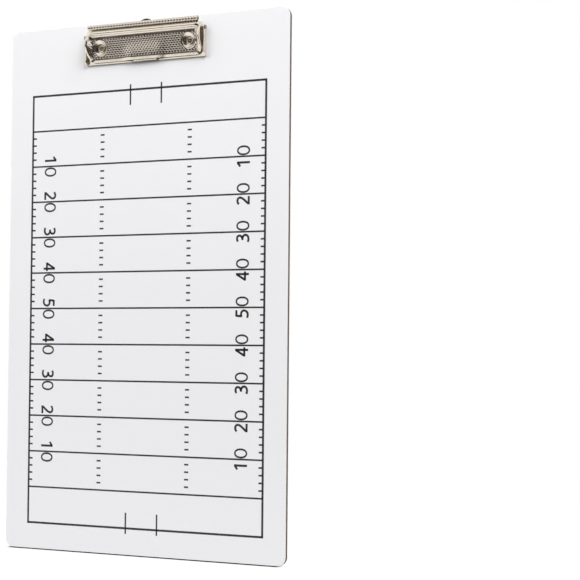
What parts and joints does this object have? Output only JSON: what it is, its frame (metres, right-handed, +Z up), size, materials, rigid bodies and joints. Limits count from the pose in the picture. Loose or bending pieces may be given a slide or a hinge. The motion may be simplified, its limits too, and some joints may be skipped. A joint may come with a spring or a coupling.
{
  "type": "coach clipboard",
  "caption": "Upright hardboard writing board with white laminate faces printed as a sports field, a sprung embossed steel clip and a pull-out hanging tab",
  "frame": {"origin": "the middle of the board's bottom edge, halfway through its thickness", "axes": "+Z up along the board's height, +X to the right as seen from the front, the front face looks toward -Y"},
  "size_m": [0.2286, 0.0148, 0.3947],
  "materials": {
    "hardboard": "dark brown pressed fibre board, sawn and rounded at its edges",
    "laminate": "smooth white dry-erase laminate",
    "nickel_steel": "bright nickel plate on pressed steel",
    "pin_steel": "drawn steel pin with peened ends",
    "spring_steel": "drawn spring wire"
  },
  "bodies": {
    "board": {"board_core": "hardboard", "front_writing_sheet": "laminate", "back_writing_sheet": "laminate", "clip_base_plate": "nickel_steel", "hinge_pin": "pin_steel", "rivet_left": "nickel_steel", "rivet_right": "nickel_steel", "torsion_spring_left": "spring_steel", "torsion_spring_right": "spring_steel"},
    "lever": {"clip_lever_plate": "nickel_steel"},
    "hanger": {"hanger_tab": "nickel_steel"}
  },
  "joints": [
    {"name": "lever_hinge", "type": "hinge", "parent": "board", "child": "lever", "pos_m": [0.0009, -0.0053, 0.3837], "axis": [-1, 0, 0], "range_deg": [0, 30], "stiffness_Nm_per_rad": 0.18, "springref_deg": -45.84, "deforming": ["torsion_spring_left", "torsion_spring_right"]},
    {"name": "hanger_slide", "type": "slide", "parent": "board", "child": "hanger", "axis": [0, 0, 1], "range_m": [0, 0.013]}
  ]
}
